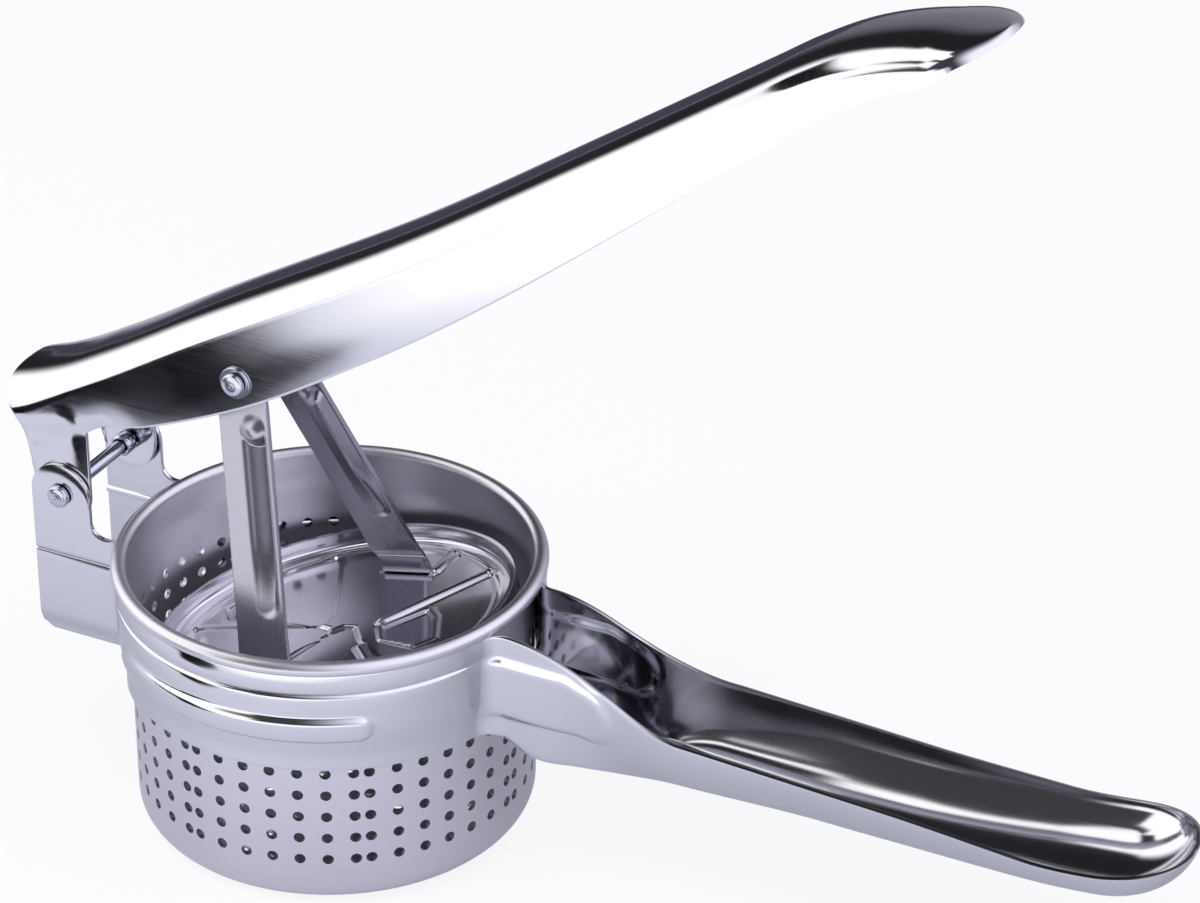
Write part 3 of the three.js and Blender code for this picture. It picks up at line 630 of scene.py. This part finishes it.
pins = dict(axleRadius=1.5, axleHalf=14.3, axleHead=2.4, axleHeadHeight=1.4, collarRadius=2.3, collarBore=1.8,
            collarStart=8.3, collarLength=3.0, pinRadius=1.7, pinHalf=14.2, pinHead=2.4, pinHeadHeight=1.2,
            washerRadius=3.3, washerBore=2.0, washerStart=13.4, washerSheet=0.5)


def turnedPiece(name, profile, centre, body, node, material=headedWire):
    # Radius and place-along-Y pairs carried round the Y axis through centre.
    turn = np.radians(np.arange(48) * 7.5)
    r, y = profile[:, :1], profile[:, 1:]
    grid = np.stack([centre[0] + r * np.cos(turn), y + 0 * turn, centre[2] + r * np.sin(turn)], -1)
    surface = Surface()
    surface.addGrid(grid, ring=True)
    piece = pieceFrom(name, surface)
    finishPiece(piece, body, [node], material, sharp=45)


def headProfile(radius, height, start):
    # A riveted head: upright edge, ring-shaped crown and a small dimple where the punch sat.
    t = np.linspace(0, 1, 9)
    edge = np.stack([radius * (1 - 0.25 * t**2), start + height * (0.3 + 0.5 * np.sin(t * math.pi / 2))], -1)
    crown = np.stack([radius * (0.75 - 0.75 * t), start + height * (0.8 + 0.2 * np.sin(t * math.pi) - 0.12 * t
                      + 0.25 * smoothStep(0.5, 1, t))], -1)
    return np.vstack([[[radius, start]], edge, crown[1:]])


def rodProfile(radius, half, head, height):
    # A rod with a riveted head at each end, from one pole on the axis to the other.
    side = headProfile(head, height, half)
    other = side * [1, -1]
    return np.vstack([other[::-1], [[radius, -half], [radius, half]], side])


def sleeveProfile(outer, bore, start, length, side):
    # A sleeve's closed outline: bore, end, outside and other end, with a small chamfer.
    cut = min(0.3, length / 4)
    low, high = start, start + length
    loop = np.array([[bore, low], [outer - cut, low], [outer, low + cut], [outer, high - cut],
                     [outer - cut, high], [bore, high], [bore, low]])
    return loop * [1, side]


hingeRivet = rodProfile(pins["axleRadius"], pins["axleHalf"], pins["axleHead"], pins["axleHeadHeight"])
turnedPiece("hinge_rivet", hingeRivet, hinge, "frame", "hinge_axle")
plungerRivet = rodProfile(pins["pinRadius"], pins["pinHalf"], pins["pinHead"], pins["pinHeadHeight"])
turnedPiece("plunger_rivet", plungerRivet, pin, "lever", "plunger_pin")
for word, side in (("near", -1), ("far", 1)):
    collar = sleeveProfile(pins["collarRadius"], pins["collarBore"], pins["collarStart"],
                           pins["collarLength"], side)
    turnedPiece(f"hinge_collar_{word}", collar, hinge, "frame", f"axle_collar_{word}")
    washer = sleeveProfile(pins["washerRadius"], pins["washerBore"], pins["washerStart"],
                           pins["washerSheet"], side)
    turnedPiece(f"rivet_washer_{word}", washer, pin, "lever", f"pin_washer_{word}")


strut = dict(
    tilt=13.0,  # degrees at rest
    sheet=1.1,
    edge=0.2,
    topY=8.2,
    footY=26.8,
    tabTop=4.75,
    tabDrop=6.0,
    footZ=-58.6,
    footLength=5.4,
    footShear=4.6,  # the foot's flange is drawn along X
    width=11.2,
    footWidth=11.6,
    topShift=-3.2,
    footShift=-0.7,
    grooveShift=2.0,
    grooveHalf=2.7,
    grooveDepth=2.2,
    knobHeight=0.8,
)


def makeStrut(word, side):
    # A strip carried down a bent line, widening at its foot, with a rib pressed inwards that fades out.
    bendTop = np.array([strut["topY"], -strut["tabDrop"]])
    bendFoot = np.array([strut["footY"], strut["footZ"]])
    slope = bendFoot - bendTop
    length = np.linalg.norm(slope)
    slope = slope / length
    t = np.linspace(0, 1, 8)[:, None]

    def corner(place, before, after, radius=2.5):
        a, b = place - before * radius, place + after * radius
        return (1 - t) ** 2 * a + 2 * t * (1 - t) * place + t**2 * b

    line = np.vstack([[strut["topY"], strut["tabTop"]], corner(bendTop, np.array([0, -1.0]), slope),
                      corner(bendFoot, slope, np.array([-1.0, 0])),
                      [strut["footY"] - strut["footLength"], strut["footZ"]]])
    steps = np.linspace(0, 1, 16)
    head = strut["tabTop"] * np.cos(np.radians(90 * steps[:-1]))
    rest = spaced(line, 400)
    distance = np.r_[0, np.cumsum(np.linalg.norm(np.diff(rest, axis=0), axis=1))]
    places = np.r_[strut["tabTop"] - head, np.linspace(strut["tabTop"], distance[-1], 130)]
    middle = np.stack([np.interp(places, distance, rest[:, k]) for k in (0, 1)], -1)
    tangent = np.gradient(middle, axis=0)
    tangent /= np.linalg.norm(tangent, axis=1)[:, None]
    inward = np.stack([tangent[:, 1], -tangent[:, 0]], -1)
    drop = np.clip((middle[:, 1] - strut["footZ"]) / (bendTop[1] - strut["footZ"]), 0, 1)
    shift = strut["footShift"] + (strut["topShift"] - strut["footShift"]) * drop
    widen = 1 - smoothStep(1, 9, middle[:, 1] - strut["footZ"])
    half = strut["width"] / 2 + (strut["footWidth"] - strut["width"]) / 2 * widen
    roundEnd = np.sqrt(np.clip(strut["tabTop"] ** 2 - np.clip(middle[:, 1], 0, None) ** 2, 0, None))
    above = smoothStep(-6, 0, middle[:, 1])
    flange = smoothStep(distance[-1] - strut["footLength"] - 1.5, distance[-1], places)
    shift = shift + strut["footShear"] * flange
    left = (shift - half) * (1 - above) - roundEnd * above
    right = (shift + half) * (1 - above) + roundEnd * above
    across = np.linspace(0, 1, 40)
    x = left[:, None] + (right - left)[:, None] * across
    start, end = strut["tabTop"] + strut["tabDrop"] + 5.5, strut["tabTop"] + strut["tabDrop"] + length * 0.72
    along = places[:, None]
    r = strut["grooveHalf"]
    sideways = x - shift[:, None] - strut["grooveShift"]
    reach = np.hypot(np.maximum(np.maximum(start + r - along, along - end), 0), sideways) - r
    fade = 1 - 0.75 * smoothStep(start + 20, end, along)
    # the rib slopes in slowly from its left side and comes back steeply on its right; its top end bulges out
    off = sideways / r
    slant = 0.18 + 0.82 * smoothStep(-1.0, 0.85, off)
    depth = strut["grooveDepth"] * fade * slant * (1 - smoothStep(-1.0, 0.3, reach))
    knob = np.hypot(along - start - 0.4, sideways)
    depth = depth * smoothStep(1.6, 3.4, knob) - strut["knobHeight"] * hump(knob, 0, 3.2)
    y = middle[:, :1] + inward[:, :1] * depth
    z = middle[:, 1:] + inward[:, 1:] * depth
    grid = np.stack([x, side * y, z], -1)
    surface = Surface()
    surface.addGrid(lifted(grid, strut["tilt"], pin))
    piece = pieceFrom(f"strut_strip_{word}", surface, weld=0.01)
    makeSheet(piece, strut["sheet"], strut["edge"])
    finishPiece(piece, "plunger", [f"strut_{word}"], tumbledStrip)


makeStrut("near", -1)
makeStrut("far", 1)

disc = dict(
    radius=36.55,  # middle of the rim's sheet
    sheet=0.9,
    edge=0.2,
    drop=59.95,  # pin to the middle of the sheet
    corner=1.6,
    rim=3.9,
    sector=[(-4.4, -2.3), (-11.1, -1.2), (-25.5, -1.5), (-29.5, 3), (-28.5, 12), (-24.0, 21.4), (-17, 28.2),
            (-14.6, 26.5), (-8.3, 14.8), (-2.6, 3.1), (-2.4, -0.4)],
    sectorTurns=(0, 70, 138),  # degrees
    sectorDepth=0.55,
    window=[(10.8, -1.8), (17.4, 7.3), (21.1, 3.4), (25.3, -5.0), (22.5, -8.5), (14, -6.5)],
    beads=[((9.9, 0.7), (22.8, 23)), ((10.1, 22.5), (10.2, 30.6)), ((10.5, -9.5), (22.0, -21))],
    beadHalf=1.7,
    beadHeight=0.95,
    windowRidge=0.5,
    windowDepth=0.3,
    edgeLineRadius=32.6,
    edgeLine=0.35,
)


def outlineReach(corners, x, y):
    # Distance to a closed outline, negative inside: the nearest edge, and a crossing count for the sign.
    a = np.array(corners, float)
    b = np.roll(a, -1, 0)
    px, py = x[..., None] - a[:, 0], y[..., None] - a[:, 1]
    ex, ey = b[:, 0] - a[:, 0], b[:, 1] - a[:, 1]
    t = np.clip((px * ex + py * ey) / (ex**2 + ey**2), 0, 1)
    away = np.hypot(px - t * ex, py - t * ey).min(-1)
    over = (a[:, 1] > y[..., None]) != (b[:, 1] > y[..., None])
    crossing = over & (px < ex * py / np.where(ey == 0, 1e-9, ey))
    return np.where(crossing.sum(-1) % 2 == 1, -away, away)


def ridgeAt(start, end, half, height, x, y):
    # A straight bead with round ends between two points.
    ax, ay = start
    ex, ey = end[0] - ax, end[1] - ay
    t = np.clip(((x - ax) * ex + (y - ay) * ey) / (ex**2 + ey**2), 0, 1)
    return height * hump(np.hypot(x - ax - t * ex, y - ay - t * ey), 0, half)


def discRelief(x, y):
    # Height pressed into the disc: sunk sectors with soft walls, beads, and a line inside the rim.
    height = 0 * x
    for turn in disc["sectorTurns"]:
        c, n = math.cos(math.radians(turn)), math.sin(math.radians(turn))
        reach = outlineReach(disc["sector"], x * c + y * n, y * c - x * n)
        height = height - disc["sectorDepth"] * (1 - smoothStep(-0.9, 0.4, reach))
    reach = outlineReach(disc["window"], x, y)
    height = height + disc["windowRidge"] * hump(reach, 0, 1.0)
    height = height - disc["windowDepth"] * (1 - smoothStep(-0.8, 0.2, reach))
    for start, end in disc["beads"]:
        height = height + ridgeAt(start, end, disc["beadHalf"], disc["beadHeight"], x, y)
    return height + disc["edgeLine"] * hump(np.hypot(x, y), disc["edgeLineRadius"], 0.9)


def makeDisc():
    # A plate on a polar grid with its rim turned up; its height is the pressed relief.
    flat = disc["radius"] - disc["corner"]
    r = np.r_[np.linspace(0.02, flat, 92)]
    fold = np.radians(np.linspace(0, 90, 7))[1:]
    edgeR = np.r_[flat + disc["corner"] * np.sin(fold), np.full(5, disc["radius"])]
    edgeZ = np.r_[disc["corner"] * (1 - np.cos(fold)), np.linspace(disc["corner"], disc["rim"], 6)[1:]]
    turn = np.linspace(0, 2 * math.pi, 361)[:-1]
    allR = np.r_[r, edgeR][:, None]
    x, y = allR * np.cos(turn), allR * np.sin(turn)
    z = np.r_[np.zeros(len(r)), edgeZ][:, None] + discRelief(x, y) * (1 - smoothStep(flat - 3, flat, allR))
    grid = np.stack([x, y, z - disc["drop"]], -1)
    surface = Surface()
    surface.addGrid(lifted(grid, strut["tilt"], pin), ring=True)
    piece = pieceFrom("press_plate", surface, weld=0.05)
    makeSheet(piece, disc["sheet"], disc["edge"])
    finishPiece(piece, "plunger", ["press_disc"], buffedDisc)


makeDisc()
print("pieces ready")


studio = dict(
    aim=(48.0, 24.5, 80.6),
    azimuth=27.0,
    elevation=29.5,
    distance=850.0,
    viewWidth=15.84,  # degrees
    floorSize=4000.0,  # to each side
    floorColour="#DDDEEB",
    floorGlow=0.86,  # share of the floor that is white to the camera; the rest keeps the shadow
    floorTone=0.65,  # share of the floor that glows as the metal sees it
    floorRange=(0.04, -0.13),  # metres along Y, from the rear to the front
    # strength of the floor's painted glow at the rear and at the front
    floorPaintedGlow=(0.55, 1.45),
    roomColour="#E4E4F0",
    # azimuth, elevation, cosines where the glow starts and is full, strength outside and inside
    roomGlows=((142, 34, 0.5, 0.95, 0.09, 0.03), (5, 30, 0.2, 0.8, 0.0, 1.9), (98, 4, 0.8, 1.0, 0.0, 0.4)),
    middle=(30.0, 0.0, 90.0),
    screenDistance=1100.0,
)


def stagePiece(name, points, faces, material, fade=None):
    # A stage mesh; fade is how solid each point is, from 0 at a soft edge to 1.
    mesh = bpy.data.meshes.new(name)
    mesh.from_pydata((np.asarray(points, float).reshape(-1, 3) * mm).tolist(), [], np.asarray(faces).tolist())
    if fade is not None:
        mesh.attributes.new("fade", "FLOAT", "POINT").data.foreach_set("value", np.ravel(fade))
    mesh.materials.append(material)
    item = bpy.data.objects.new(name, mesh)
    bpy.context.scene.collection.objects.link(item)
    return item


def cardMaterial(name, colour, strength):
    # Glowing or black card whose edges fade out.
    material = bpy.data.materials.new(name)
    material.use_nodes = True
    tree = material.node_tree
    tree.nodes.remove(tree.nodes["Principled BSDF"])
    glow = addNode(tree, "ShaderNodeEmission", Color=toLinear(colour), Strength=strength)
    clear = addNode(tree, "ShaderNodeBsdfTransparent")
    fade = addNode(tree, "ShaderNodeAttribute", attribute_name="fade")
    mix = addNode(tree, "ShaderNodeMixShader", {"Fac": fade.outputs["Fac"]})
    tree.links.new(clear.outputs[0], mix.inputs[1])
    tree.links.new(glow.outputs[0], mix.inputs[2])
    tree.links.new(mix.outputs[0], tree.nodes["Material Output"].inputs["Surface"])
    return material


def edgeFade(u, v, softU, softV):
    # 0 on the border of the unit square and 1 further in than the soft share on each side.
    return (smoothStep(0, softU[0], u) * smoothStep(0, softU[1], 1 - u)
            * smoothStep(0, softV[0], v) * smoothStep(0, softV[1], 1 - v))


def makeCard(name, points, colour, strength, fade):
    # A soft box or flag that only the metal sees: a painted reflection, glowing or black, that lights nothing
    # else and casts no shadow.
    item = stagePiece(name, points, gridQuads(*points.shape[:2]), cardMaterial(name, colour, strength), fade)
    item.visible_camera = item.visible_diffuse = item.visible_shadow = item.visible_transmission = False


def makeScreen(name, azimuths, elevations, colour, strength, softU, softV):
    # Part of a sphere round the tool: middle plus distance times the direction of azimuth and elevation.
    u, v = np.meshgrid(np.linspace(0, 1, 40), np.linspace(0, 1, 24), indexing="ij")
    a = np.radians(azimuths[0] + (azimuths[1] - azimuths[0]) * u)
    e = np.radians(elevations[0] + (elevations[1] - elevations[0]) * v)
    way = np.stack([np.cos(a) * np.cos(e), np.sin(a) * np.cos(e), np.sin(e)], -1)
    points = np.array(studio["middle"]) + studio["screenDistance"] * way
    points[..., 2] = np.maximum(points[..., 2], 3.0)
    makeCard(name, points, colour, strength, edgeFade(u, v, softU, softV))


def makeFlatCard(name, near, far, height, colour, strength, softU, softV):
    # Level card between two polylines: near + v (far - near), with the points spaced along each.
    near, far = spaced(near, 40), spaced(far, 40)
    u, v = np.meshgrid(np.linspace(0, 1, 40), np.linspace(0, 1, 24), indexing="ij")
    flat = near[:, None] + (far - near)[:, None] * v[..., None]
    points = np.concatenate([flat, np.full(flat.shape[:2] + (1,), height)], -1)
    makeCard(name, points, colour, strength, edgeFade(u, v, softU, softV))


def softStep(tree, value, low, high, none, full):
    # Goes from none at low to full at high in an S-shaped step.
    tone = addNode(tree, "ShaderNodeMapRange", {"Value": value}, interpolation_type="SMOOTHSTEP")
    for key, number in (("From Min", low), ("From Max", high), ("To Min", none), ("To Max", full)):
        tone.inputs[key].default_value = number
    return tone.outputs["Result"]


def makeFloor():
    # A plain pale sheet under the tool; to the metal it shows a painted glow, brighter towards the front.
    size = studio["floorSize"]
    corners = [(-size, -size, 0), (size, -size, 0), (size, size, 0), (-size, size, 0)]
    material = bpy.data.materials.new("pale_floor_with_painted_glow")
    material.use_nodes = True
    tree = material.node_tree
    shader = tree.nodes["Principled BSDF"]
    shader.inputs["Base Color"].default_value = toLinear(studio["floorColour"])
    shader.inputs["Roughness"].default_value = 0.9
    path = addNode(tree, "ShaderNodeLightPath")
    white = addNode(tree, "ShaderNodeEmission", Color=(1, 1, 1, 1), Strength=1.0)
    spot = addNode(tree, "ShaderNodeTexCoord").outputs["Object"]
    place = addNode(tree, "ShaderNodeSeparateXYZ", {"Vector": spot})
    tone = softStep(tree, place.outputs["Y"], *studio["floorRange"], *studio["floorPaintedGlow"])
    # painted glow: as the metal sees it, the floor glows by itself, brighter towards the front, not lit by a
    # lamp
    paintedGlow = addNode(tree, "ShaderNodeEmission", {"Strength": tone}, Color=toLinear(studio["floorColour"]))
    shade = addNode(tree, "ShaderNodeMixShader", Fac=studio["floorTone"])
    tree.links.new(shader.outputs[0], shade.inputs[1])
    tree.links.new(paintedGlow.outputs[0], shade.inputs[2])
    plain = addNode(tree, "ShaderNodeMixShader", Fac=studio["floorGlow"])
    tree.links.new(shader.outputs[0], plain.inputs[1])
    tree.links.new(white.outputs[0], plain.inputs[2])
    both = addNode(tree, "ShaderNodeMixShader", {"Fac": path.outputs["Is Camera Ray"]})
    tree.links.new(shade.outputs[0], both.inputs[1])
    tree.links.new(plain.outputs[0], both.inputs[2])
    tree.links.new(both.outputs[0], tree.nodes["Material Output"].inputs["Surface"])
    stagePiece("floor", corners, [(0, 1, 2, 3)], material)


def makeCamera():
    a, e = math.radians(studio["azimuth"]), math.radians(studio["elevation"])
    back = Vector((math.sin(a) * math.cos(e), -math.cos(a) * math.cos(e), math.sin(e)))
    data = bpy.data.cameras.new("camera")
    camera = bpy.data.objects.new("camera", data)
    bpy.context.scene.collection.objects.link(camera)
    camera.location = (Vector(studio["aim"]) + back * studio["distance"]) * mm
    camera.rotation_euler = (-back).to_track_quat("-Z", "Y").to_euler()
    data.sensor_width = 36
    data.lens = data.sensor_width / 2 / math.tan(math.radians(studio["viewWidth"] / 2))
    data.clip_start, data.clip_end = 0.01, 20
    bpy.context.scene.camera = camera


def makeLamp(name, place, aim, size, power, colour="#FFFFFF"):
    # A soft box: an area lamp at a place, turned to face a point.
    data = bpy.data.lights.new(name, "AREA")
    data.shape = "RECTANGLE"
    data.size, data.size_y = size[0] * mm, size[1] * mm
    data.energy = power
    data.color = toLinear(colour)[:3]
    lamp = bpy.data.objects.new(name, data)
    bpy.context.scene.collection.objects.link(lamp)
    lamp.location = Vector(place) * mm
    lamp.rotation_euler = ((Vector(aim) - Vector(place)) * mm).to_track_quat("-Z", "Y").to_euler()
    lamp.visible_camera = False
    lamp.visible_glossy = False


def makeWorld():
    # White round the tool as the camera sees it; the metal sees a dim room, darkest behind on the left.
    world = bpy.data.worlds.new("studio")
    world.use_nodes = True
    tree = world.node_tree
    room = tree.nodes["Background"]
    path = addNode(tree, "ShaderNodeLightPath")
    way = addNode(tree, "ShaderNodeTexCoord").outputs["Generated"]

    def glow(azimuth, elevation, low, high, none, full):
        # Strength that changes from none to full as the ray turns towards a direction: a dot product.
        a, e = math.radians(azimuth), math.radians(elevation)
        turn = addNode(tree, "ShaderNodeVectorMath", {0: way}, operation="DOT_PRODUCT")
        turn.inputs[1].default_value = (math.cos(a) * math.cos(e), math.sin(a) * math.cos(e), math.sin(e))
        return softStep(tree, turn.outputs["Value"], low, high, none, full)

    total, *others = [glow(*values) for values in studio["roomGlows"]]
    for other in others:
        total = addNode(tree, "ShaderNodeMath", {0: total, 1: other}, operation="ADD").outputs[0]
    tree.links.new(total, room.inputs["Strength"])
    room.inputs["Color"].default_value = toLinear(studio["roomColour"])
    white = addNode(tree, "ShaderNodeBackground", Color=(1, 1, 1, 1), Strength=1.0)
    mix = addNode(tree, "ShaderNodeMixShader", {"Fac": path.outputs["Is Camera Ray"]})
    tree.links.new(room.outputs[0], mix.inputs[1])
    tree.links.new(white.outputs[0], mix.inputs[2])
    tree.links.new(mix.outputs[0], tree.nodes["World Output"].inputs["Surface"])
    bpy.context.scene.world = world


makeFloor()
makeCamera()
makeWorld()
makeLamp("key_box", (-300, -500, 900), (30, 0, 60), (700, 700), 9)
makeScreen("left_soft_box", (147, 222), (-8, 58), "#FFFFFF", 1.75, (0.2, 0.1), (0.05, 0.08))
makeScreen("upper_soft_box", (152, 243), (51, 74), "#FFFFFF", 1.75, (0.12, 0.1), (0.1, 0.1))
makeScreen("front_soft_box", (206, 243), (-8, 46), "#FFFFFF", 1.75, (0.1, 0.15), (0.05, 0.15))
makeScreen("front_low_box", (230, 262), (-8, 10), "#FFFFFF", 1.75, (0.1, 0.2), (0.05, 0.3))
makeFlatCard("front_reflector", [(-600, -640), (-170, -255), (-105, -190), (-60, -158), (400, -155)],
             [(-600, -1500), (-170, -1500), (-105, -1500), (-60, -1500), (400, -1500)], 1.0, "#FFFFFF", 1.8,
             (0.02, 0.1), (0.025, 0.1))
makeFlatCard("side_flag",
             [(-55, -114), (-84, -108), (-104, -107), (-124, -126), (-138, -137), (-180, -144), (-500, -215),
              (-900, -400)],
             [(-60, -160), (-84, -190), (-104, -205), (-124, -218), (-138, -232), (-180, -275), (-500, -620),
              (-900, -1000)],
             1.6, "#101014", 1.0, (0.03, 0.1), (0.07, 0.25))
makeFlatCard("back_flag", [(-900, 200), (-330, 250), (-200, 320), (-60, 420)],
             [(-4000, 1200), (-3000, 2600), (-1800, 3900), (-700, 3900)], 1.6, "#4A4856", 1.0,
             (0.05, 0.1), (0.02, 0.02))
makeFlatCard("overhead_flag", [(-62, 24), (38, 24)], [(-62, -94), (38, -94)], 248.0, "#101014", 1.0,
             (0.1, 0.25), (0.1, 0.1))
bpy.context.scene.view_settings.view_transform = "Standard"
print("stage ready")
